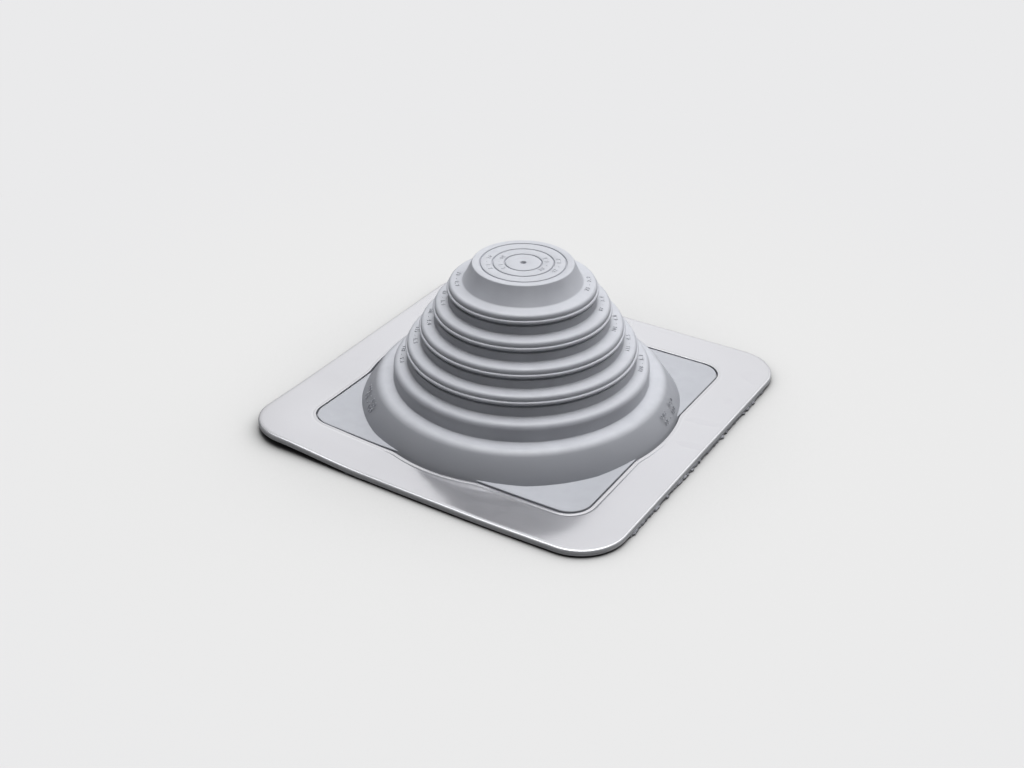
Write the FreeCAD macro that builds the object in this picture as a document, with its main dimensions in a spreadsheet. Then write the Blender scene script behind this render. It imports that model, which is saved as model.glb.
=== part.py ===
import FreeCAD, Part
import Sketcher
import math
import os
import re

# Pipe flashing boot: a moulded rubber boot with stepped sides, a closed cap and a square flange,
# and a soft aluminium frame that is bonded onto the flange. Millimetres, +Z up, origin at the
# middle of the underside.

DIMENSIONS = [
    ("base_side", 203.2, "outer side of the square frame"),
    ("base_corner", 23.0, "outer corner radius of the frame"),
    ("opening_side", 155.9, "side of the square opening in the frame"),
    ("opening_corner", 12.0, "corner radius of the opening"),
    ("foot_relief", 81.4, "radius of the scallops that let the foot through the opening"),
    ("frame_top", 4.0, "height of the frame's upper face"),
    ("frame_sheet", 1.0, "thickness of the aluminium sheet"),
    ("frame_skirt", 1.6, "height of the lower edge of the folded rim"),
    ("frame_roll", 0.9, "bevel along the fold at the rim"),
    ("rib_depth", 1.0, "depth of the sealing ribs under the flange"),
    ("rib_width", 1.6, "width of a sealing rib"),
    ("outer_rib_side", 196.0, "outer side of the outer square rib"),
    ("inner_rib_side", 184.0, "outer side of the inner square rib"),
    ("flange_top", 3.0, "height of the rubber flange under the frame"),
    ("flange_play", 0.3, "gap between the flange's edge and the folded rim"),
    ("panel_top", 3.2, "height of the rubber inside the opening"),
    ("panel_gap", 0.4, "gap between that rubber and the frame"),
    ("wall", 2.8, "thickness of the boot's wall"),
    ("foot_radius", 80.5, "radius where the foot meets the flange"),
    ("foot_shoulder", 74.0, "radius of the foot's shoulder before rounding"),
    ("foot_height", 16.2, "height of the lowest tread"),
    ("foot_rounding", 6.2, "rounding of the foot's shoulder"),
    ("collar_height", 25.8, "height of the plain tread above the foot"),
    ("collar_rounding", 2.4, "rounding of the plain tread"),
    ("first_tread", 68.6, "height of the tread below the cap"),
    ("cap_base", 29.5, "radius where the cap meets the first tread"),
    ("step_run", 6.95, "radius gained at each step"),
    ("step_rise", 10.55, "height lost at each beaded step"),
    ("shoulder", 2.2, "rounding of a beaded step's shoulder"),
    ("bead_face", 3.5, "depth of the top of a bead's face below its tread"),
    ("bead_foot", 4.7, "depth of the foot of a bead's face"),
    ("bead_proud", 0.5, "how far a bead stands out of its riser"),
    ("undercut_floor", 6.2, "depth of the undercut's lower edge below the tread"),
    ("undercut_depth", 0.9, "how far the undercut goes into the riser"),
    ("cap_radius", 24.4, "radius of the cap's flat top"),
    ("cap_height", 78.2, "height of the cap's flat top"),
    ("cap_edge", 0.5, "bevel of the cap's edge"),
    ("outer_ring", 21.0, "radius of the outer cutting ring on the cap"),
    ("middle_ring", 14.95, "radius of the middle cutting ring"),
    ("inner_ring", 9.05, "radius of the inner cutting ring"),
    ("ring_width", 0.9, "width of a cutting ring"),
    ("ring_depth", 0.45, "depth of a cutting ring"),
    ("dimple_radius", 0.9, "radius of the centre dimple"),
    ("dimple_depth", 0.7, "depth of the centre dimple"),
]
beadedSteps = 4
flatsPerQuarter = 2  # a small rounding is drawn as this many flats, and the foot's as one more
touching = 0.01  # heights and radii closer than this are the same

doc = FreeCAD.newDocument("PipeFlashingBoot")
sheet = doc.addObject("Spreadsheet::Sheet", "Dimensions")
for row, (alias, size, meaning) in enumerate(DIMENSIONS, start=1):
    sheet.set(f"A{row}", meaning)
    sheet.set(f"B{row}", str(size))
    sheet.setAlias(f"B{row}", alias)
doc.recompute()


def inSheet(formula):
    """Turn the sheet's words in a formula into references to its cells."""
    return re.sub(r"[a-z]+(_[a-z]+)*", lambda word: "Dimensions." + word.group(0), formula)


def measure(formula):
    """The number that a formula gives now."""
    return float(sheet.evalExpression(inSheet(formula)))


def newBody(label):
    body = doc.addObject("PartDesign::Body", label)
    body.Label = label
    body.Placement = FreeCAD.Placement()
    return body


def newSketch(body, name, role, height=None):
    """A sketch on one of the body's own planes, lifted by a formula where it has a height."""
    sketch = body.newObject("Sketcher::SketchObject", name)
    plane = [part for part in body.Origin.OriginFeatures if part.Role == role][0]
    sketch.AttachmentSupport = [(plane, "")]
    sketch.MapMode = "FlatFace"
    if height:
        sketch.setExpression("AttachmentOffset.Base.z", inSheet(height))
    return sketch


def hold(sketch, constraint, formula):
    """Add a measured constraint and tie it to the sheet."""
    index = sketch.addConstraint(constraint)
    sketch.setExpression(f"Constraints[{index}]", inSheet(formula))


def outline(sketch, corners):
    """A closed outline of straight lines through corners given as two formulas each."""
    first = sketch.GeometryCount
    points = [FreeCAD.Vector(measure(across), measure(up), 0) for across, up in corners]
    count = len(points)
    for index in range(count):
        sketch.addGeometry(Part.LineSegment(points[index], points[(index + 1) % count]), False)
    for index, (across, up) in enumerate(corners):
        line = first + index
        previous = first + (index - 1) % count
        sketch.addConstraint(Sketcher.Constraint("Coincident", previous, 2, line, 1))
        for kind, axis, formula in (("DistanceX", -2, across), ("DistanceY", -1, up)):
            if formula == "0":
                sketch.addConstraint(Sketcher.Constraint("PointOnObject", line, 1, axis))
            else:
                distance = Sketcher.Constraint(kind, -1, 1, line, 1, measure(formula))
                hold(sketch, distance, formula)


def roundOff(across, up, radius, lean, flats):
    """Corners of a convex rounding in flats, from a level tread to a wall.

    The tread and the wall meet at the two formulas given, and lean is the wall's angle off
    upright in radians. The rounding is tangent to both.
    """
    turn = math.pi / 2 - lean
    tangent = math.tan(turn / 2)
    corners = []
    for flat in range(flats + 1):
        angle = turn * flat / flats
        inward = tangent - math.sin(angle)
        downward = 1 - math.cos(angle)
        corners.append((f"{across} - {radius} * {inward:.5f}", f"{up} - {radius} * {downward:.5f}"))
    return corners


def roundedSquare(sketch, side, radius):
    """A square about the origin with rounded corners."""
    first = sketch.GeometryCount
    half = measure(side) / 2
    flat = half - measure(radius)
    quarter = FreeCAD.Rotation(FreeCAD.Vector(0, 0, 1), 90)
    start = FreeCAD.Vector(-flat, -half, 0)
    end = FreeCAD.Vector(flat, -half, 0)
    centre = FreeCAD.Vector(flat, -flat, 0)
    upward = FreeCAD.Vector(0, 0, 1)
    turn = FreeCAD.Rotation()
    for corner in range(4):
        sketch.addGeometry(Part.LineSegment(turn.multVec(start), turn.multVec(end)), False)
        circle = Part.Circle(turn.multVec(centre), upward, half - flat)
        angle = FreeCAD.Units.Quantity(f"{90 * (corner - 1)} deg").getValueAs("rad").Value
        sweep = FreeCAD.Units.Quantity("90 deg").getValueAs("rad").Value
        sketch.addGeometry(Part.ArcOfCircle(circle, angle, angle + sweep), False)
        turn = quarter.multiply(turn)
    for corner in range(4):
        line = first + 2 * corner
        arc = line + 1
        following = first + (2 * corner + 2) % 8
        direction = "Vertical" if corner % 2 else "Horizontal"
        sketch.addConstraint(Sketcher.Constraint(direction, line))
        sketch.addConstraint(Sketcher.Constraint("Tangent", line, 2, arc, 1))
        sketch.addConstraint(Sketcher.Constraint("Tangent", arc, 2, following, 1))
        if corner:
            sketch.addConstraint(Sketcher.Constraint("Equal", first + 1, arc))
    bottom, right, top, left = [first + 2 * corner for corner in range(4)]
    sketch.addConstraint(Sketcher.Constraint("Symmetric", first + 1, 3, first + 5, 3, -1, 1))
    hold(sketch, Sketcher.Constraint("Radius", first + 1, measure(radius)), radius)
    hold(sketch, Sketcher.Constraint("DistanceX", left, 1, right, 1, 2 * half), side)
    hold(sketch, Sketcher.Constraint("DistanceY", bottom, 1, top, 1, 2 * half), side)


def circle(sketch, radius):
    """A circle about the origin."""
    upward = FreeCAD.Vector(0, 0, 1)
    index = sketch.addGeometry(Part.Circle(FreeCAD.Vector(), upward, measure(radius)), False)
    sketch.addConstraint(Sketcher.Constraint("Coincident", index, 3, -1, 1))
    hold(sketch, Sketcher.Constraint("Radius", index, measure(radius)), radius)


def feature(body, kind, name, sketch, length=None, **settings):
    """A sketched feature of the body, checked for having changed the solid."""
    before = body.Shape.Volume if body.Tip and not body.Shape.isNull() else 0.0
    made = body.newObject(kind, name)
    made.Profile = sketch
    if length:
        made.setExpression("Length", inSheet(length))
    for setting, choice in settings.items():
        setattr(made, setting, choice)
    sketch.Visibility = False
    doc.recompute()
    change = made.Shape.Volume - before
    cuts = kind in ("PartDesign::Pocket", "PartDesign::Groove")
    if (change >= 0) if cuts else (change <= 0):
        raise RuntimeError(f"{name} does not change the solid")
    return made


def turned(body, kind, name, sketch):
    """A sketch of the boot's section turned about the boot's axis."""
    return feature(body, kind, name, sketch, ReferenceAxis=(sketch, ["V_Axis"]), Angle=360.0)


def bevelled(body, name, size, chosen):
    """Bevel the edges of the body's last feature that a test picks out."""
    base = body.Tip
    edges = [f"Edge{number}" for number, edge in enumerate(base.Shape.Edges, start=1) if chosen(edge)]
    if not edges:
        raise RuntimeError(f"{name} finds no edge")
    made = body.newObject("PartDesign::Chamfer", name)
    made.Base = (base, edges)
    made.setExpression("Size", inSheet(size))
    doc.recompute()
    return made


def isRing(edge, radius, height):
    """True for a circle about the boot's axis with this radius and height."""
    if not isinstance(edge.Curve, Part.Circle):
        return False
    centre = edge.Curve.Center
    level = abs(centre.z - measure(height)) < touching
    central = abs(centre.x) + abs(centre.y) < touching
    return level and central and abs(edge.Curve.Radius - measure(radius)) < touching


def stepRadius(step):
    """Formula for the radius of a riser; step 0 is the foot of the cap."""
    return f"cap_base + {step} * step_run"


def treadHeight(step):
    """Formula for the height of the tread that ends at a riser; step 1 lies below the cap."""
    if step > beadedSteps:
        return "collar_height"
    return f"first_tread - {step - 1} * step_rise"


def boot():
    body = newBody("rubber_boot")
    margin = "frame_sheet + flange_play"

    flange = newSketch(body, "FlangeOutline", "XY_Plane", "rib_depth")
    roundedSquare(flange, f"base_side - 2 * ({margin})", f"base_corner - ({margin})")
    feature(body, "PartDesign::Pad", "Flange", flange, "flange_top - rib_depth")

    panel = newSketch(body, "PanelOutline", "XY_Plane", "flange_top")
    roundedSquare(panel, "opening_side - 2 * panel_gap", "opening_corner - panel_gap")
    feature(body, "PartDesign::Pad", "Panel", panel, "panel_top - flange_top")

    # Half section of the outside: cap, beaded steps, plain collar and leaning foot.
    section = newSketch(body, "BootSection", "XZ_Plane")
    corners = [("0", "rib_depth"), ("0", "cap_height"), ("cap_radius", "cap_height")]
    corners.append((stepRadius(0), treadHeight(1)))
    for step in range(1, beadedSteps + 1):
        riser = stepRadius(step)
        tread = treadHeight(step)
        corners += roundOff(riser, tread, "shoulder", 0, flatsPerQuarter)
        corners.append((f"{riser} + bead_proud", f"{tread} - bead_face"))
        corners.append((f"{riser} + bead_proud", f"{tread} - bead_foot"))
        corners.append((f"{riser} - undercut_depth", f"{tread} - (bead_foot + undercut_floor) / 2"))
        corners.append((riser, f"{tread} - undercut_floor"))
        corners.append((riser, treadHeight(step + 1)))
    collar = stepRadius(beadedSteps + 1)
    corners += roundOff(collar, "collar_height", "collar_rounding", 0, flatsPerQuarter)
    corners.append((collar, "foot_height"))
    lean = math.atan2(measure("foot_radius - foot_shoulder"), measure("foot_height - panel_top"))
    corners += roundOff("foot_shoulder", "foot_height", "foot_rounding", lean, flatsPerQuarter + 1)
    corners.append(("foot_radius", "panel_top"))
    corners.append(("foot_radius", "rib_depth"))
    outline(section, corners)
    turned(body, "PartDesign::Revolution", "SteppedCone", section)
    bevelled(body, "CapEdge", "cap_edge", lambda edge: isRing(edge, "cap_radius", "cap_height"))

    # The hollow follows the steps, so each riser is a seat for one size of pipe.
    core = newSketch(body, "CoreSection", "XZ_Plane")
    slope = "(foot_radius - foot_shoulder) / (foot_height - panel_top)"
    mouth = f"foot_shoulder - wall + {slope} * (foot_height - wall - panel_top)"
    corners = [("0", "0"), ("0", "cap_height - wall"), ("cap_radius - wall", "cap_height - wall")]
    corners.append((f"{stepRadius(0)} - wall", f"{treadHeight(1)} - wall"))
    for step in range(1, beadedSteps + 2):
        below = "foot_height" if step > beadedSteps else treadHeight(step + 1)
        corners.append((f"{stepRadius(step)} - wall", f"{treadHeight(step)} - wall"))
        corners.append((f"{stepRadius(step)} - wall", f"{below} - wall"))
    corners.append(("foot_shoulder - wall", "foot_height - wall"))
    corners.append((mouth, "panel_top"))
    corners.append((mouth, "0"))
    outline(core, corners)
    turned(body, "PartDesign::Groove", "Hollow", core)

    # Three cutting rings and a centre dimple in the cap.
    rings = newSketch(body, "RingSections", "XZ_Plane")
    for ring in ("outer_ring", "middle_ring", "inner_ring"):
        outline(rings, [
            (f"{ring} - ring_width / 2", "cap_height + ring_depth"),
            (f"{ring} - ring_width / 2", "cap_height"),
            (ring, "cap_height - ring_depth"),
            (f"{ring} + ring_width / 2", "cap_height"),
            (f"{ring} + ring_width / 2", "cap_height + ring_depth"),
        ])
    outline(rings, [
        ("0", "cap_height - dimple_depth"),
        ("dimple_radius", "cap_height"),
        ("dimple_radius", "cap_height + ring_depth"),
        ("0", "cap_height + ring_depth"),
    ])
    turned(body, "PartDesign::Groove", "CuttingRings", rings)

    ribs = newSketch(body, "RibOutlines", "XY_Plane")
    for side in ("outer_rib_side", "inner_rib_side"):
        inset = f"(base_side - {side}) / 2"
        roundedSquare(ribs, side, f"base_corner - {inset}")
        roundedSquare(ribs, f"{side} - 2 * rib_width", f"base_corner - {inset} - rib_width")
    circle(ribs, mouth)
    circle(ribs, f"{mouth} + rib_width")
    feature(body, "PartDesign::Pad", "SealingRibs", ribs, "rib_depth")
    return body


def frame():
    body = newBody("aluminium_frame")

    plate = newSketch(body, "PlateOutline", "XY_Plane", "frame_skirt")
    roundedSquare(plate, "base_side", "base_corner")
    feature(body, "PartDesign::Pad", "Plate", plate, "frame_top - frame_skirt")
    top = measure("frame_top")
    bevelled(body, "RolledRim", "frame_roll", lambda edge: edge.BoundBox.ZMin > top - touching)

    # The sheet is folded down around the flange, so its underside is a shallow tray.
    tray = newSketch(body, "TrayOutline", "XY_Plane", "frame_skirt")
    roundedSquare(tray, "base_side - 2 * frame_sheet", "base_corner - frame_sheet")
    feature(body, "PartDesign::Pocket", "Tray", tray, "frame_top - frame_sheet - frame_skirt",
            Reversed=True)

    opening = newSketch(body, "OpeningOutline", "XY_Plane", "frame_top")
    roundedSquare(opening, "opening_side", "opening_corner")
    feature(body, "PartDesign::Pocket", "Opening", opening, Type="ThroughAll")
    relief = newSketch(body, "ReliefOutline", "XY_Plane", "frame_top")
    circle(relief, "foot_relief")
    feature(body, "PartDesign::Pocket", "FootRelief", relief, Type="ThroughAll")
    return body


pieces = [boot(), frame()]
doc.recompute()

for thing in doc.Objects:
    if "Invalid" in thing.State or "Error" in thing.State:
        raise RuntimeError(f"{thing.Name} failed: {thing.State}")
for piece in pieces:
    if piece.Shape.isNull() or not piece.Shape.isValid() or len(piece.Shape.Solids) != 1:
        raise RuntimeError(f"{piece.Label} is not one valid solid")

os.makedirs("parts", exist_ok=True)
for piece in pieces:
    piece.Shape.exportStep(f"parts/{piece.Label}.step")
    box = piece.Shape.BoundBox
    print(piece.Label, round(piece.Shape.Volume / 1000, 2), "cm3", box)
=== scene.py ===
import bpy
import math
import random
from functools import partial
from mathutils import Matrix, Vector


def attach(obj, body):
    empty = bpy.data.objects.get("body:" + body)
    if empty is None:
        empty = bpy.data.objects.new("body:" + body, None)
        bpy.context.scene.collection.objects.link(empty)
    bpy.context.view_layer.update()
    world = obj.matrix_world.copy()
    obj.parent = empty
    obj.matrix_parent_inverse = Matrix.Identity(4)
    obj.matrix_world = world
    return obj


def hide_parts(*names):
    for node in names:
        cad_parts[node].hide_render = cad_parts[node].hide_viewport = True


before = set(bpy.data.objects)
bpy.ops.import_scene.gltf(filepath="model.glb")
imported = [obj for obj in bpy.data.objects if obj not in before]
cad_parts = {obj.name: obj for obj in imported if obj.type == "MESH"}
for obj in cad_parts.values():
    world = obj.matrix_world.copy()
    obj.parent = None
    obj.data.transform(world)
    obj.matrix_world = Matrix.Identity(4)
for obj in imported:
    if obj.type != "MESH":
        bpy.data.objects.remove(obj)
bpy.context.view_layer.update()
mm = 0.001
inch = 25.4
closeGap, joinGap = 0.005, 0.01  # how near points are welded, within a band and between parts


def deselectAll():
    if bpy.context.object and bpy.context.object.mode != "OBJECT":
        bpy.ops.object.mode_set(mode="OBJECT")
    bpy.ops.object.select_all(action="DESELECT")


def makeActive(piece):
    deselectAll()
    piece.select_set(True)
    bpy.context.view_layer.objects.active = piece


def editing(piece, mode="VERT"):
    makeActive(piece)
    bpy.ops.object.mode_set(mode="EDIT")
    bpy.ops.mesh.select_mode(type=mode)
    bpy.ops.mesh.select_all(action="SELECT")


def leaveEditing():
    bpy.ops.object.mode_set(mode="OBJECT")


def weld(piece, gap):
    editing(piece)
    bpy.ops.mesh.remove_doubles(threshold=gap * mm)
    leaveEditing()


def faceOutwards(piece):
    editing(piece)
    bpy.ops.mesh.normals_make_consistent(inside=False)
    leaveEditing()


def applyModifier(piece, kind, **settings):
    makeActive(piece)
    modifier = piece.modifiers.new(kind.title(), kind)
    for name, setting in settings.items():
        setattr(modifier, name, setting)
    bpy.ops.object.modifier_apply(modifier=modifier.name)


# Name a piece, put its place into its mesh and smooth it.
def settle(piece, name, smoothAngle):
    makeActive(piece)
    bpy.ops.object.transform_apply(location=True, rotation=True, scale=True)
    bpy.ops.object.shade_smooth_by_angle(angle=math.radians(smoothAngle))
    piece.name = name
    piece.data.name = name


# Join pieces into the first of them.
def joined(pieces):
    deselectAll()
    for piece in pieces:
        piece.select_set(True)
    bpy.context.view_layer.objects.active = pieces[0]
    bpy.ops.object.join()
    return pieces[0]


# Points on an arc of the section, from one angle to the other in degrees.
def arc(across, up, radius, start, end, steps=6):
    angles = [math.radians(start + (end - start) * i / steps) for i in range(steps + 1)]
    return [(across + radius * math.cos(a), up + radius * math.sin(a)) for a in angles]


# A section in millimetres, drawn point by point and spun about the boot's axis.
def turnedPiece(section, steps):
    bpy.ops.mesh.primitive_plane_add(size=mm, location=(0, 0, 0))
    piece = bpy.context.object
    editing(piece)
    bpy.ops.mesh.merge(type="CENTER")
    here = Vector((section[0][0] * mm, 0, section[0][1] * mm))
    bpy.ops.transform.translate(value=here)
    for across, up in section[1:]:
        there = Vector((across * mm, 0, up * mm))
        bpy.ops.mesh.extrude_region_move(TRANSFORM_OT_translate={"value": there - here})
        here = there
    bpy.ops.mesh.select_all(action="SELECT")
    bpy.ops.mesh.spin(steps=steps, angle=math.tau, center=(0, 0, 0), axis=(0, 0, 1))
    leaveEditing()
    weld(piece, closeGap)
    faceOutwards(piece)
    return piece


# A square with rounded corners as a loop of edges, in millimetres.
def roundedLoop(side, corner, height, cornerSteps, sideCuts):
    bpy.ops.mesh.primitive_plane_add(size=side * mm, location=(0, 0, height * mm))
    loop = bpy.context.object
    editing(loop)
    bpy.ops.mesh.bevel(offset=corner * mm, segments=cornerSteps, affect="VERTICES", clamp_overlap=False)
    leaveEditing()
    longest = max(edgeLength(loop, edge) for edge in loop.data.edges)
    editing(loop, "EDGE")
    bpy.ops.mesh.select_all(action="DESELECT")
    leaveEditing()
    for edge in loop.data.edges:
        edge.select = edgeLength(loop, edge) > longest / 2  # the four straight sides
    bpy.ops.object.mode_set(mode="EDIT")
    bpy.ops.mesh.subdivide(number_cuts=sideCuts)
    bpy.ops.mesh.select_all(action="SELECT")
    bpy.ops.mesh.delete(type="ONLY_FACE")
    leaveEditing()
    makeActive(loop)
    bpy.ops.object.transform_apply(location=True, rotation=True, scale=True)
    return loop


def edgeLength(piece, edge):
    ends = [piece.data.vertices[index].co for index in edge.vertices]
    return (ends[0] - ends[1]).length


# Join loops and bridge each to the next with faces.
def bridged(loops):
    piece = joined(loops)
    editing(piece, "EDGE")
    bpy.ops.mesh.bridge_edge_loops()
    leaveEditing()
    return piece


lifted = {"place": (-87, -101, 3), "shift": (1.3, 0.8, 2.3), "reach": 62}  # the corner that is bent up
bowed = {"place": (42, -101, 3), "shift": (0, -1.6, -0.4), "reach": 115}  # the side that bulges out
pushed = {"place": (42, -101, 3), "shift": (0, -1.2, 0), "reach": 75}  # the rubber beside it


# Bend a piece softly at a place, by a shift that fades out over its reach.
def bend(piece, soft):
    places = []
    for share in (0, 1):
        place = Vector(soft["place"]) + share * Vector(soft["shift"])
        bpy.ops.object.empty_add(location=place * mm)
        places.append(bpy.context.object)
    applyModifier(piece, "WARP", object_from=places[0], object_to=places[1],
                  falloff_type="SMOOTH", falloff_radius=soft["reach"] * mm)
    deselectAll()
    for place in places:
        place.select_set(True)
    bpy.ops.object.delete()


# sRGB hex to the linear colour that a shader socket takes.
def toLinear(hexColour):
    channels = [int(hexColour[i:i + 2], 16) / 255 for i in (1, 3, 5)]
    return [c / 12.92 if c <= 0.04045 else ((c + 0.055) / 1.055) ** 2.4 for c in channels] + [1.0]


# Give a socket another node's output, a hex colour or a plain value.
def feed(tree, socket, value):
    if isinstance(value, bpy.types.NodeSocket):
        tree.links.new(value, socket)
    else:
        socket.default_value = toLinear(value) if isinstance(value, str) else value


# Add a node. Settings name its own properties or its sockets, and feeds go to its sockets.
def addNode(tree, kind, feeds=None, **settings):
    node = tree.nodes.new(kind)
    for name, setting in settings.items():
        if hasattr(node, name):
            setattr(node, name, setting)
        else:
            node.inputs[name.replace("_", " ")].default_value = setting
    for socket, value in (feeds or {}).items():
        feed(tree, node.inputs[socket], value)
    return node


# The result of a maths node.
def calculate(tree, operation, *values):
    return addNode(tree, "ShaderNodeMath", dict(enumerate(values)), operation=operation).outputs[0]


def newMaterial(name):
    material = bpy.data.materials.new(name)
    material.use_nodes = True
    tree = material.node_tree
    tree.nodes.clear()
    return material, tree


boot = {
    "turns": 256,  # segments about the axis
    "wall": 2.8,
    "capHeight": 78.2, "capRadius": 24.9, "capEdge": 0.7, "capBase": 29.5,
    "capCrease": [(-0.25, 0.45), (0.5, -0.04)],  # across and up from where the cap meets its tread
    "cutRings": [9.05, 14.95, 21.0], "ringWidth": 0.95, "ringDepth": 0.75,
    "ringFloor": 0.1, "ringLip": (0.12, 0.05),  # half the floor's width; width and drop of each edge
    "dimpleRadius": 1.55, "dimpleDepth": 2.2, "dimpleFlat": 0.45, "dimpleBowl": 0.85,
    "dimpleLip": (0.25, 0.12),
    "firstTread": 68.6, "rise": 10.55, "run": 6.95, "beadedSteps": 4,
    "treadFall": 0.45, "shoulder": 1.8, "shoulderInset": 0.15, "crease": 0.5,
    # depths below the tread, and how far in from the riser
    "beadDrop": 3.95, "beadRadius": 0.85, "beadInset": 0.05, "beadArc": (96, -75),
    "undercutDepth": 1.0, "undercutTop": 5.05, "undercutFloor": 5.9,
    "lipDrop": 6.45, "lipRadius": 0.4, "lipInset": 0.45, "lipArc": (110, 0),
    "collarHeight": 25.8, "collarRounding": 3.0,
    "footHeight": 16.2, "footFall": 0.1, "footShoulder": 71.9, "footRounding": 5.4, "footRadius": 80.8,
    "innerRounding": 0.8, "innerFoot": 2.5,
    "panelTop": 2.9, "flangeTop": 1.5, "underside": 1.0,
    "smooth": 38,
}


def stepRadius(step):
    return boot["capBase"] + step * boot["run"]


def treadHeight(step):
    if step > boot["beadedSteps"]:
        return boot["collarHeight"]
    return boot["firstTread"] - (step - 1) * boot["rise"]


# From the centre dimple out over the cutting rings to the cap's edge.
def capTop():
    top, radius, depth = boot["capHeight"], boot["dimpleRadius"], boot["dimpleDepth"]
    lip, drop = boot["dimpleLip"]
    points = [(0, top - depth), (boot["dimpleFlat"] * radius, top - boot["dimpleBowl"] * depth)]
    points += [(radius, top - drop), (radius + lip, top)]
    half, middle = boot["ringWidth"] / 2, boot["ringFloor"]
    lip, drop = boot["ringLip"]
    for ring in boot["cutRings"]:
        points += [(ring - half - lip, top), (ring - half, top - drop)]
        points += [(ring - middle, top - boot["ringDepth"]), (ring + middle, top - boot["ringDepth"])]
        points += [(ring + half, top - drop), (ring + half + lip, top)]
    return points


# A rounding tangent to a level tread and to a wall that leans out by an angle in degrees.
def rounding(across, up, radius, lean, steps):
    turn = 90 - lean
    tangent = radius * math.tan(math.radians(turn / 2))
    return arc(across - tangent, up - radius, radius, 90, 90 - turn, steps)


# Tread, shoulder, bead, undercut and riser, down to the next tread.
def beadedStep(step):
    riser, tread = stepRadius(step), treadHeight(step)
    undercut = riser - boot["undercutDepth"]
    points = rounding(riser - boot["shoulderInset"], tread - boot["treadFall"], boot["shoulder"], 0, 6)
    points += arc(riser - boot["beadInset"], tread - boot["beadDrop"], boot["beadRadius"],
                  *boot["beadArc"], steps=12)
    points += [(undercut, tread - boot["undercutTop"]), (undercut, tread - boot["undercutFloor"])]
    points += arc(riser - boot["lipInset"], tread - boot["lipDrop"], boot["lipRadius"],
                  *boot["lipArc"], steps=4)
    return points


# The soft inner corner between a riser and the tread below it.
def creaseArc(riser, tread):
    crease = boot["crease"]
    return arc(riser + crease, tread + crease, crease, 180, 270, steps=3)


# Degrees by which a wall leans out from one radius and height to a wider, lower one.
def wallLean(across, up, acrossBelow, upBelow):
    return math.degrees(math.atan2(acrossBelow - across, up - upBelow))


def footLean():
    return wallLean(boot["footShoulder"], boot["footHeight"], boot["footRadius"], boot["panelTop"])


def bootSection():
    wall = boot["wall"]
    outside = capTop()
    capLean = wallLean(boot["capRadius"], boot["capHeight"], boot["capBase"], boot["firstTread"])
    outside += rounding(boot["capRadius"], boot["capHeight"], boot["capEdge"], capLean, steps=4)
    outside += [(boot["capBase"] + across, boot["firstTread"] + up) for across, up in boot["capCrease"]]
    for step in range(1, boot["beadedSteps"] + 1):
        outside += beadedStep(step)
        outside += creaseArc(stepRadius(step), treadHeight(step + 1))
    collar = stepRadius(boot["beadedSteps"] + 1)
    outside += rounding(collar, boot["collarHeight"] - boot["treadFall"], boot["collarRounding"], 0, steps=8)
    outside += creaseArc(collar, boot["footHeight"])
    outside += rounding(boot["footShoulder"], boot["footHeight"] - boot["footFall"],
                        boot["footRounding"], footLean(), steps=12)
    outside += [(boot["footRadius"], boot["panelTop"]), (boot["footRadius"], boot["flangeTop"])]

    # The inside follows the steps at one wall's distance.
    inside = [(0, boot["capHeight"] - wall), (boot["capRadius"] - wall, boot["capHeight"] - wall)]
    inside += [(boot["capBase"] - wall, boot["firstTread"] - wall)]
    for step in range(1, boot["beadedSteps"] + 2):
        below = boot["footHeight"] if step > boot["beadedSteps"] else treadHeight(step + 1)
        inside += rounding(stepRadius(step) - wall, treadHeight(step) - wall,
                           boot["innerRounding"], 0, steps=3)
        inside += [(stepRadius(step) - wall, below - wall)]
    inside += rounding(boot["footShoulder"] - wall, boot["footHeight"] - wall,
                       boot["innerFoot"], footLean(), steps=4)
    inside += [(flange["mouth"], boot["panelTop"])]
    return outside, inside


flange = {
    "side": 200.6, "corner": 21.7, "top": 2.6, "edge": 0.4,
    "panelSide": 154.2, "panelCorner": 11.2, "panelHole": 77.2, "panelFoot": 1.3,
    "panelEdge": [(9.0, 0), (3.0, 0.75), (1.2, 0.97), (0.25, 1.0), (0, 0.8)],  # in from the side, rise
    "seam": 0.6,
    "cornerSteps": 16, "sideCuts": 47,  # 256 points round every loop, as round the steps
    "squareRibs": [(196.0, 19.4), (184.0, 13.4)],  # side and corner of each
    "ribWidth": 1.6, "ribSlope": 0.2, "ribFoot": 0.0, "mouth": 76.3,
}


def ringLoop(radius, height):
    bpy.ops.mesh.primitive_circle_add(vertices=boot["turns"], radius=radius * mm,
                                      location=(0, 0, height * mm))
    bpy.ops.object.transform_apply(location=True, rotation=True, scale=True)
    return bpy.context.object


# A rounded square, set in from an outline of a given side and corner.
def squareLoop(side, corner, inset, height):
    return roundedLoop(side - 2 * inset, corner - inset, height, flange["cornerSteps"], flange["sideCuts"])


# The opening in the frame. The foot reaches past its sides, so a round is cut there.
opening = {"side": 155.9, "corner": 12.0, "scallop": 81.4, "scallopDepth": 20}


# Push a loop out to a round where the foot reaches past it.
def scalloped(loop, radius):
    near = loop.vertex_groups.new(name="near")
    near.add([v.index for v in loop.data.vertices if v.co.xy.length < radius * mm], 1.0, "REPLACE")
    bpy.ops.mesh.primitive_cylinder_add(vertices=boot["turns"], radius=radius * mm,
                                        depth=opening["scallopDepth"] * mm, end_fill_type="NOTHING")
    target = bpy.context.object
    applyModifier(loop, "SHRINKWRAP", target=target, vertex_group="near")
    loop.vertex_groups.clear()
    deselectAll()
    target.select_set(True)
    bpy.ops.object.delete()
    return loop


# A loop round the opening, a distance out from its edge.
def openingLoop(out, height):
    return scalloped(squareLoop(opening["side"], opening["corner"], -out, height), opening["scallop"] + out)


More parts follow.
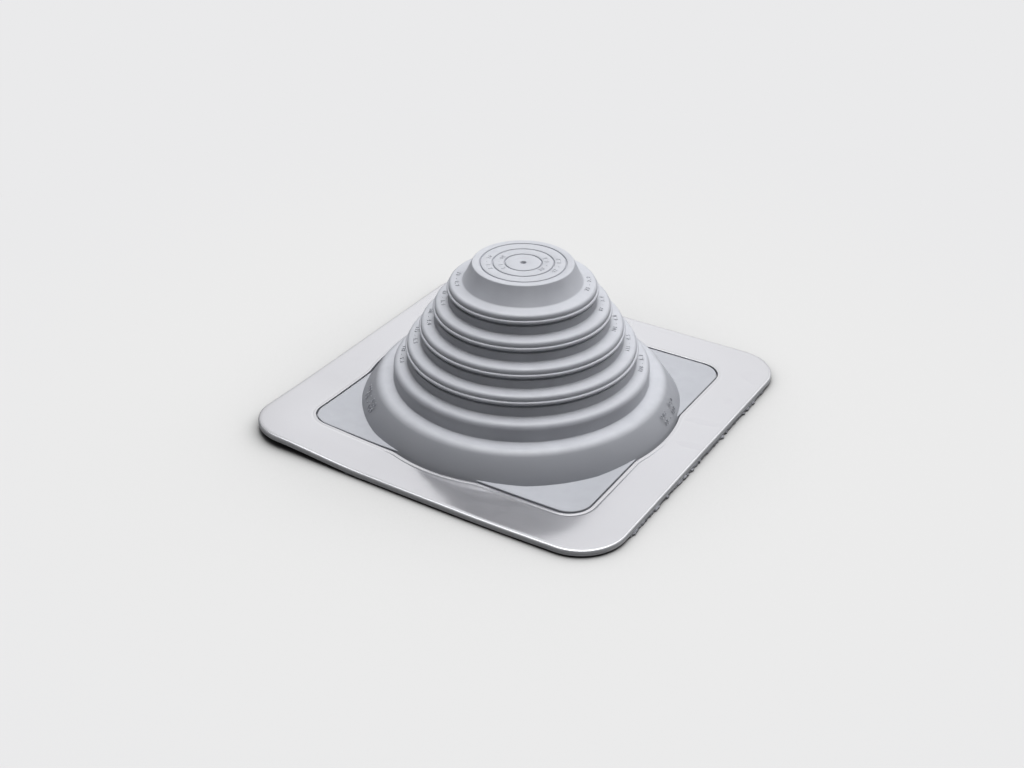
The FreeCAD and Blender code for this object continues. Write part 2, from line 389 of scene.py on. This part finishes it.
# Bridge each loop of a list to the next, and weld the bands.
def banded(makers):
    bands = [bridged([makers[i](), makers[i + 1]()]) for i in range(len(makers) - 1)]
    piece = joined(bands)
    weld(piece, closeGap)
    return piece


# The flange's section from the foot's outside, over the edge and back under to its inside.
def flangeLoops():
    base, top, edge = boot["underside"], flange["top"], flange["edge"]
    seam, floor = flange["seam"], boot["flangeTop"]
    loops = [partial(ringLoop, boot["footRadius"], floor)]
    loops += [partial(openingLoop, seam, floor), partial(openingLoop, seam, top)]
    loops += [partial(squareLoop, flange["side"], flange["corner"], inset, height)
              for inset, height in ((edge, top), (0, top - edge), (0, base + edge), (edge, base))]
    width, slope, foot = flange["ribWidth"], flange["ribSlope"], flange["ribFoot"]
    for side, corner in flange["squareRibs"]:
        loops += [partial(squareLoop, side, corner, inset, height)
                  for inset, height in ((0, base), (slope, foot), (width - slope, foot), (width, base))]
    mouth = flange["mouth"]
    loops += [partial(ringLoop, radius, height)
              for radius, height in ((mouth + width, base), (mouth + width - slope, foot),
                                     (mouth, foot), (mouth, boot["panelTop"]))]
    return loops


# The raised square that stands in the frame's opening at the corners of the foot.
def makePanel():
    side, corner, top = flange["panelSide"], flange["panelCorner"], boot["panelTop"]
    foot, hole = flange["panelFoot"], flange["panelHole"]
    loops = [partial(ringLoop, hole, foot), partial(ringLoop, hole, top)]
    loops += [partial(squareLoop, side, corner, inset, top + rise) for inset, rise in flange["panelEdge"]]
    loops += [partial(squareLoop, side, corner, 0, foot), partial(ringLoop, hole, foot)]
    panel = banded(loops)
    faceOutwards(panel)
    return panel


# Steps, foot and flange, moulded as one.
def makeRubber():
    outside, inside = bootSection()
    dome = turnedPiece(outside, boot["turns"])
    hollow = turnedPiece(inside, boot["turns"])
    piece = joined([dome, hollow, banded(flangeLoops())])
    weld(piece, joinGap)
    faceOutwards(piece)
    piece = joined([piece, makePanel()])
    bend(piece, lifted)
    bend(piece, pushed)
    settle(piece, "rubberBoot", boot["smooth"])
    return piece


rubberBoot = makeRubber()
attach(rubberBoot, "root")
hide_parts("rubber_boot")
print("rubber boot done")


metal = {
    "side": 203.2, "corner": 23.0, "top": 4.0, "foot": 1.2, "sheet": 1.0, "rim": 0.85,
    "lip": [(0, -1.0), (0, 0.03), (0.12, 0.08), (0.3, 0.08), (1.0, 0)],  # out from the opening, above the top
    "pressedLine": [(1.3, 0), (1.6, -0.08), (1.9, 0), (2.6, 0)],
    "spans": [16, 11, 6, 2.5],  # loops on the flat top, in from the side
    "hem": [(0, 2.3), (0.16, 2.1), (0, 1.9), (0, 1.4), (0.3, 1.2)],  # in from the side, height
    "waves": 0.35, "waveLength": 52, "smooth": 38,
}


# The sheet's section from under the opening's edge, over the top and rim, and back under.
def frameLoops():
    top, rim, sheet = metal["top"], metal["rim"], metal["sheet"]
    loops = [partial(openingLoop, out, top + above) for out, above in metal["lip"] + metal["pressedLine"]]
    section = [(inset, top) for inset in metal["spans"]]
    section += [(rim - across, up) for across, up in arc(0, top - rim, rim, 90, 0, steps=4)]
    section += metal["hem"] + [(sheet, metal["foot"]), (sheet, top - sheet)]
    loops += [partial(squareLoop, metal["side"], metal["corner"], inset, height)
              for inset, height in section]
    loops.append(partial(openingLoop, 0, top - sheet))
    return loops


# Give the soft sheet the slow unevenness of rolled metal.
def wave(piece):
    waves = bpy.data.textures.new("sheetWaves", "CLOUDS")
    waves.noise_scale = metal["waveLength"] * mm
    waves.noise_depth = 1
    applyModifier(piece, "DISPLACE", texture=waves, texture_coords="LOCAL", direction="Z",
                  strength=metal["waves"] * mm, mid_level=0.5)


def makeFrame():
    piece = banded(frameLoops())
    faceOutwards(piece)
    wave(piece)
    bend(piece, lifted)
    bend(piece, bowed)
    settle(piece, "aluminiumFrame", metal["smooth"])
    return piece


aluminiumFrame = makeFrame()
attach(aluminiumFrame, "root")
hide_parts("aluminium_frame")
print("aluminium frame done")


numbers = {
    "height": 0.3, "sunk": 0.12, "spacing": 0.66, "smooth": 30,
    "treadSize": 3.0, "treadInset": 3.25, "treadDrop": 0.2, "treadLean": 0.06, "treadAngles": (-150, 26),
    "capRadii": (12.5, 18.4), "capSize": 3.2, "capAngles": (-148, 20),
    "footRows": [(76.9, 10.4, "203 - 8.0"), (78.8, 6.6, "73 - 128")],  # radius, height, words
    "footSize": 3.4, "footAngles": (-137, 12),
}


def addCharacter(letter, size, matrix):
    bpy.ops.object.text_add()
    text = bpy.context.object
    text.data.body = letter
    text.data.size = size * mm
    text.data.align_x = "CENTER"
    text.data.extrude = numbers["height"] / 2 * mm
    bpy.ops.object.convert(target="MESH")
    character = bpy.context.object
    character.matrix_world = matrix
    makeActive(character)
    bpy.ops.object.transform_apply(location=True, rotation=True, scale=True)
    return character


# Characters set round the axis, read from outside. lean turns them up from a level tread.
def ringOfText(words, radius, height, size, middle, lean):
    characters = []
    step = math.degrees(size * numbers["spacing"] / radius)
    sunk = (numbers["height"] / 2 - numbers["sunk"]) * mm
    for index, letter in enumerate(words):
        if letter == " ":
            continue
        angle = math.radians(middle + (index - (len(words) - 1) / 2) * step)
        outward = Vector((math.cos(angle), math.sin(angle), 0))
        along = Vector((-math.sin(angle), math.cos(angle), 0))
        upward = -outward * math.cos(lean) + Vector((0, 0, math.sin(lean)))
        normal = along.cross(upward)
        place = outward * radius * mm + Vector((0, 0, height * mm)) + normal * sunk
        turn = Matrix((along, upward, normal)).transposed().to_4x4()
        characters.append(addCharacter(letter, size, Matrix.Translation(place) @ turn))
    return characters


# A diameter in millimetres and in inches.
def sizeWords(radius):
    return f"{2 * radius:.0f} - {2 * radius / inch:.1f}"


def makeNumbers():
    characters = []
    for step in range(1, boot["beadedSteps"] + 2):
        riser = stepRadius(step)
        for middle in numbers["treadAngles"]:
            characters += ringOfText(sizeWords(riser), riser - numbers["treadInset"],
                                     treadHeight(step) - numbers["treadDrop"], numbers["treadSize"],
                                     middle, numbers["treadLean"])
    for radius, ring in zip(numbers["capRadii"], boot["cutRings"][1:]):
        for middle in numbers["capAngles"]:
            characters += ringOfText(sizeWords(ring), radius, boot["capHeight"], numbers["capSize"],
                                     middle, 0)
    for radius, height, words in numbers["footRows"]:
        for middle in numbers["footAngles"]:
            characters += ringOfText(words, radius, height, numbers["footSize"],
                                     middle, math.radians(90 - footLean()))
    piece = joined(characters)
    settle(piece, "raisedNumbers", numbers["smooth"])
    return piece


raisedNumbers = makeNumbers()
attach(raisedNumbers, "root")
print("numbers done")


flash = {
    "height": 0.85, "smooth": 50, "seed": 7,
    "reach": 0.3, "under": 0.2, "thickness": 0.4, "cells": (4, 200), "rough": 0.28,
    "chips": 44, "chipSizes": [(0.8, 2.2), (1.0, 4.0), (0.7, 1.4)], "chipOut": 0.05, "chipRough": 0.16,
    "right": {"length": 150, "middle": 0, "turn": 0, "chipScale": 1, "seed": 3},
    "front": {"length": 100, "middle": 14, "turn": -90, "chipScale": 0.5, "seed": 5},
}


def roughen(bit, amount, seed):
    editing(bit)
    bpy.ops.transform.vertex_random(offset=amount * mm, uniform=1.0, seed=seed)
    leaveEditing()


# Put a bit of flash beside the right side, then turn it to its own side.
def placeAt(bit, across, along, turn):
    bit.location = (across * mm, along * mm, flash["height"] * mm)
    makeActive(bit)
    bpy.ops.object.transform_apply(location=True)
    bit.rotation_euler = (0, 0, math.radians(turn))
    bpy.ops.object.transform_apply(rotation=True)


# A thin ragged strip under the rim of one side.
def addFlashStrip(side):
    across, along = flash["cells"]
    bpy.ops.mesh.primitive_grid_add(x_subdivisions=across, y_subdivisions=along, size=mm,
                                    location=(0, 0, 0))
    strip = bpy.context.object
    strip.scale = (2 * flash["reach"], side["length"], 1)
    bpy.ops.object.transform_apply(scale=True)
    roughen(strip, flash["rough"], side["seed"])
    applyModifier(strip, "SOLIDIFY", thickness=flash["thickness"] * mm, offset=0)
    placeAt(strip, metal["side"] / 2 - flash["under"], side["middle"], side["turn"])
    return strip


# A torn bit of flash that stands out from the rim.
def addChip(side, along, size, seed):
    bpy.ops.mesh.primitive_ico_sphere_add(subdivisions=2, radius=mm / 2)
    chip = bpy.context.object
    chip.scale = size
    bpy.ops.object.transform_apply(scale=True)
    roughen(chip, flash["chipRough"], seed)
    placeAt(chip, metal["side"] / 2 + flash["chipOut"] * size[0], along, side["turn"])
    return chip


def makeFlash():
    chance = random.Random(flash["seed"])
    bits = [addFlashStrip(flash["right"]), addFlashStrip(flash["front"])]
    for index in range(flash["chips"]):
        side = flash["right"] if index % 4 else flash["front"]  # every fourth is in front
        half = side["length"] / 2
        along = side["middle"] + chance.uniform(-half, half)
        size = [side["chipScale"] * chance.uniform(*limits) for limits in flash["chipSizes"]]
        bits.append(addChip(side, along, size, index + 1))
    piece = joined(bits)
    settle(piece, "tornFlash", flash["smooth"])
    return piece


tornFlash = makeFlash()
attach(tornFlash, "root")
print("flash done")


# Sizes and heights are in millimetres. A bump is a strength and a depth.
rubberLook = {
    # The paler colour is painted light from above; the darker colours of the foot and of the torn flash are
    # painted shade.
    "colour": "#9ea0a7", "paintedTopLight": "#adafb5", "dark": "#95979e", "paintedFootShade": "#8c8e94", "tornShade": "#5c5d61",
    "mottleSize": 18, "mottle": (0.35, 0.65),
    "footHeights": (15, 16.5), "paintedFootShadeMost": 0.9,
    "flangeHeights": (5, 10), "flangeTopLight": 0.5,
    "topLightFacing": (0.55, 0.98), "topLightMost": 0.85, "patchSize": 6, "patchLeast": 0.7,
    "sheenSize": 9, "roughness": (0.42, 0.58), "refraction": 1.5,
    "grainSize": 0.35, "grain": (0.18, 0.05),
    "poreSize": 1.6, "poreLevels": (0.62, 0.75), "pores": (0.12, 0.1),
    "tearSize": 1.1, "tearLevels": (0.35, 0.7), "tears": (0.6, 0.3), "tornRoughness": 0.8,
}
metalLook = {
    "colour": "#cfcfd3", "sheared": "#bebfc2", "roughness": (0.1, 0.16), "shearedRoughness": 0.7,
    "haze": (0.2, 0.25), "hazeRoughness": 0.5, "smearSize": 30, "shearedFacing": (0.9, 0.98),
    "streakSize": 0.5, "streakStretch": 0.04, "streaks": (0.1, 0.02),
    "dentSize": 26, "dents": (0.5, 0.1),
}
noiseLevels = (0.3, 0.7)  # nearly all of a noise lies between these


# Noise with features of a size in millimetres.
def noise(tree, where, size, detail=3, distortion=0.0):
    return addNode(tree, "ShaderNodeTexNoise", {"Vector": where}, Scale=1 / (size * mm),
                   Detail=detail, Distortion=distortion).outputs[0]


# Carry values from one range to another.
def remap(tree, value, levels, ends=(0, 1), **settings):
    return addNode(tree, "ShaderNodeMapRange", {"Value": value}, From_Min=levels[0], From_Max=levels[1],
                   To_Min=ends[0], To_Max=ends[1], **settings).outputs[0]


# Mix two colours, each given as hex or as a socket.
def blend(tree, factor, first, second):
    return addNode(tree, "ShaderNodeMix", {"Factor": factor, 6: first, 7: second},
                   data_type="RGBA").outputs[2]


# Make the surface uneven by a height, on top of any unevenness before it.
def bump(tree, height, strength, depth, before=None):
    node = addNode(tree, "ShaderNodeBump", {"Height": height}, Strength=strength, Distance=depth * mm)
    if before is not None:
        tree.links.new(before, node.inputs["Normal"])
    return node.outputs[0]


def principled(tree, colour, roughness, normal, **settings):
    return addNode(tree, "ShaderNodeBsdfPrincipled",
                   {"Base Color": colour, "Roughness": roughness, "Normal": normal}, **settings).outputs[0]


def objectPlace(tree):
    return addNode(tree, "ShaderNodeTexCoord").outputs["Object"]


# How far the surface faces up, from 0 for a wall to 1 for level.
def facingUp(tree):
    normal = addNode(tree, "ShaderNodeNewGeometry").outputs["Normal"]
    return addNode(tree, "ShaderNodeSeparateXYZ", {0: normal}).outputs["Z"]


# Moulded EPDM rubber: fine mould grain, dull broken sheen, painted light on what faces up, painted shade low
# down.
def rubberMaterial():
    material, tree = newMaterial("mouldedEpdmRubber")
    look, where = rubberLook, objectPlace(tree)
    height = addNode(tree, "ShaderNodeSeparateXYZ", {0: where}).outputs["Z"]
    mottled = remap(tree, noise(tree, where, look["mottleSize"], detail=4), look["mottle"])
    clean = blend(tree, mottled, look["dark"], look["colour"])
    # Painted shade: below the foot's shoulder the colour is blended towards a darker grey.
    foot = remap(tree, height, [up * mm for up in look["footHeights"]], (look["paintedFootShadeMost"], 0))
    base = blend(tree, foot, clean, look["paintedFootShade"])
    # Painted light: what faces up is blended towards a paler grey, in patches and less on the flange.
    facingUpLight = remap(tree, facingUp(tree), look["topLightFacing"], (0, look["topLightMost"]))
    patchy = remap(tree, noise(tree, where, look["patchSize"], detail=5), noiseLevels,
                   (look["patchLeast"], 1))
    above = remap(tree, height, [up * mm for up in look["flangeHeights"]], (look["flangeTopLight"], 1))
    paintedTopLight = calculate(tree, "MULTIPLY", calculate(tree, "MULTIPLY", facingUpLight, above), patchy)
    colour = blend(tree, paintedTopLight, base, look["paintedTopLight"])
    sheen = remap(tree, noise(tree, where, look["sheenSize"], detail=4), noiseLevels, look["roughness"])
    grain = bump(tree, noise(tree, where, look["grainSize"], detail=2), *look["grain"])
    pores = remap(tree, noise(tree, where, look["poreSize"], detail=2, distortion=0.4), look["poreLevels"])
    surface = bump(tree, pores, *look["pores"], before=grain)
    shader = principled(tree, colour, sheen, surface, IOR=look["refraction"])
    addNode(tree, "ShaderNodeOutputMaterial", {"Surface": shader})
    return material


# The same rubber where it tore: rough, and painted darker in ragged patches as painted shade.
def tornMaterial():
    material, tree = newMaterial("tornEpdmRubber")
    look = rubberLook
    ragged = noise(tree, objectPlace(tree), look["tearSize"], detail=5, distortion=0.6)
    # Painted shade: the flash's colour is darkened in ragged patches.
    colour = blend(tree, remap(tree, ragged, look["tearLevels"]), look["tornShade"], look["dark"])
    shader = principled(tree, colour, look["tornRoughness"], bump(tree, ragged, *look["tears"]),
                        IOR=look["refraction"])
    addNode(tree, "ShaderNodeOutputMaterial", {"Surface": shader})
    return material


# Rolled soft aluminium: a near mirror with rolling streaks and a thin haze, and dull and grey where
# it was sheared.
def aluminiumMaterial():
    material, tree = newMaterial("rolledSoftAluminium")
    look, where = metalLook, objectPlace(tree)
    along = addNode(tree, "ShaderNodeMapping", {"Vector": where}, Scale=(look["streakStretch"], 1, 1))
    streaks = noise(tree, along.outputs[0], look["streakSize"])
    dents = noise(tree, where, look["dentSize"], detail=1)
    surface = bump(tree, dents, *look["dents"], before=bump(tree, streaks, *look["streaks"]))
    edge = remap(tree, facingUp(tree), look["shearedFacing"], (1, 0))
    colour = blend(tree, edge, look["colour"], look["sheared"])
    smears = noise(tree, where, look["smearSize"], detail=4, distortion=0.8)
    rolled = remap(tree, smears, noiseLevels, look["roughness"])
    roughness = addNode(tree, "ShaderNodeMix", {"Factor": edge, "A": rolled, "B": look["shearedRoughness"]})
    bright = principled(tree, colour, roughness.outputs[0], surface, Metallic=1.0)
    dull = principled(tree, colour, look["hazeRoughness"], surface, Metallic=1.0)
    haze = remap(tree, noise(tree, where, look["smearSize"]), noiseLevels, look["haze"])
    both = addNode(tree, "ShaderNodeMixShader", {0: haze, 1: bright, 2: dull})
    addNode(tree, "ShaderNodeOutputMaterial", {"Surface": both.outputs[0]})
    return material


mouldedRubber = rubberMaterial()
rubberBoot.data.materials.append(mouldedRubber)
raisedNumbers.data.materials.append(mouldedRubber)
tornFlash.data.materials.append(tornMaterial())
aluminiumFrame.data.materials.append(aluminiumMaterial())
print("finishes done")


# Distances are in metres, the lens and its sensor in millimetres.
studio = {
    "floorSize": 4.0, "backdrop": "#eaeaeb", "fade": (0.15, 0.42),
    "floor": "#8c8c8c", "floorSeen": "#bebebe", "shadeReach": 0.09, "shadeSamples": 8,
    "lens": 53.51, "sensor": 36, "nearest": 0.01, "picture": (1024, 768),
    "place": (0.337118, -0.570284, 0.405311),
    "right": (0.85393549, 0.52027692, 0.01030088),
    "up": (-0.27444764, 0.43345888, 0.85836582),
    "back": (0.44212291, -0.7358161, 0.5129347),
}


# A white table. The camera sees the light on it, and beyond it the plain backdrop.
def floorMaterial():
    material, tree = newMaterial("whiteTable")
    distance = addNode(tree, "ShaderNodeVectorMath", {"Vector": objectPlace(tree)}, operation="LENGTH")
    fade = remap(tree, distance.outputs["Value"], studio["fade"], interpolation_type="SMOOTHERSTEP")
    seen = addNode(tree, "ShaderNodeLightPath").outputs["Is Camera Ray"]
    tone = blend(tree, seen, studio["floor"], studio["floorSeen"])
    # Painted contact shadow: ambient occlusion darkens the table's colour near the object.
    shaded = addNode(tree, "ShaderNodeAmbientOcclusion", {"Color": tone},
                     samples=studio["shadeSamples"], Distance=studio["shadeReach"])
    table = addNode(tree, "ShaderNodeBsdfDiffuse", {"Color": shaded.outputs["Color"]})
    plain = addNode(tree, "ShaderNodeEmission", Color=toLinear(studio["backdrop"]))
    both = addNode(tree, "ShaderNodeMixShader", {0: calculate(tree, "MULTIPLY", fade, seen),
                                                 1: table.outputs[0], 2: plain.outputs[0]})
    addNode(tree, "ShaderNodeOutputMaterial", {"Surface": both.outputs[0]})
    return material


bpy.ops.mesh.primitive_plane_add(size=studio["floorSize"], location=(0, 0, 0))
table = bpy.context.object
table.name = "table"
table.data.materials.append(floorMaterial())


# Bearing from the camera's side, elevation, narrowness and strength. A light without narrowness
# shines evenly from all round.
lights = {
    "overhead": (0, 90, 40, 13.7), "behindAbove": (180, 70, 30, 7.2), "behind": (180, 25, 12, 1.05),
    "behindRight": (120, 36, 12, 2.6), "right": (90, 60, 20, 1.6), "front": (0, 70, 30, 0.9),
    "allRound": (0, 0, 0, 0.08),
}


# Each light is a soft round patch of the sky.
def lightWorld():
    world = bpy.data.worlds.new("softLights")
    bpy.context.scene.world = world
    world.use_nodes = True
    tree = world.node_tree
    tree.nodes.clear()
    where = addNode(tree, "ShaderNodeTexCoord").outputs["Generated"]
    cameraSide = math.atan2(studio["place"][1], studio["place"][0])
    total = 0
    for bearing, elevation, narrowness, strength in lights.values():
        turn, rise = cameraSide + math.radians(bearing), math.radians(elevation)
        towards = (math.cos(turn) * math.cos(rise), math.sin(turn) * math.cos(rise), math.sin(rise))
        facing = addNode(tree, "ShaderNodeVectorMath", {0: where, 1: towards}, operation="DOT_PRODUCT")
        ahead = calculate(tree, "MAXIMUM", facing.outputs["Value"], 0)
        patch = calculate(tree, "POWER", ahead, narrowness)
        total = calculate(tree, "MULTIPLY_ADD", patch, strength, total)
    sky = addNode(tree, "ShaderNodeBackground", {"Strength": total}, Color=(1, 1, 1, 1))
    addNode(tree, "ShaderNodeOutputWorld", {"Surface": sky.outputs[0]})


lightWorld()

bpy.ops.object.camera_add()
camera = bpy.context.object
camera.data.lens = studio["lens"]
camera.data.sensor_width = studio["sensor"]
camera.data.clip_start = studio["nearest"]
turn = Matrix((studio["right"], studio["up"], studio["back"])).transposed()
camera.matrix_world = Matrix.Translation(studio["place"]) @ turn.to_4x4()
bpy.context.scene.camera = camera

scene = bpy.context.scene
scene.view_settings.view_transform = "Standard"
scene.render.resolution_x, scene.render.resolution_y = studio["picture"]
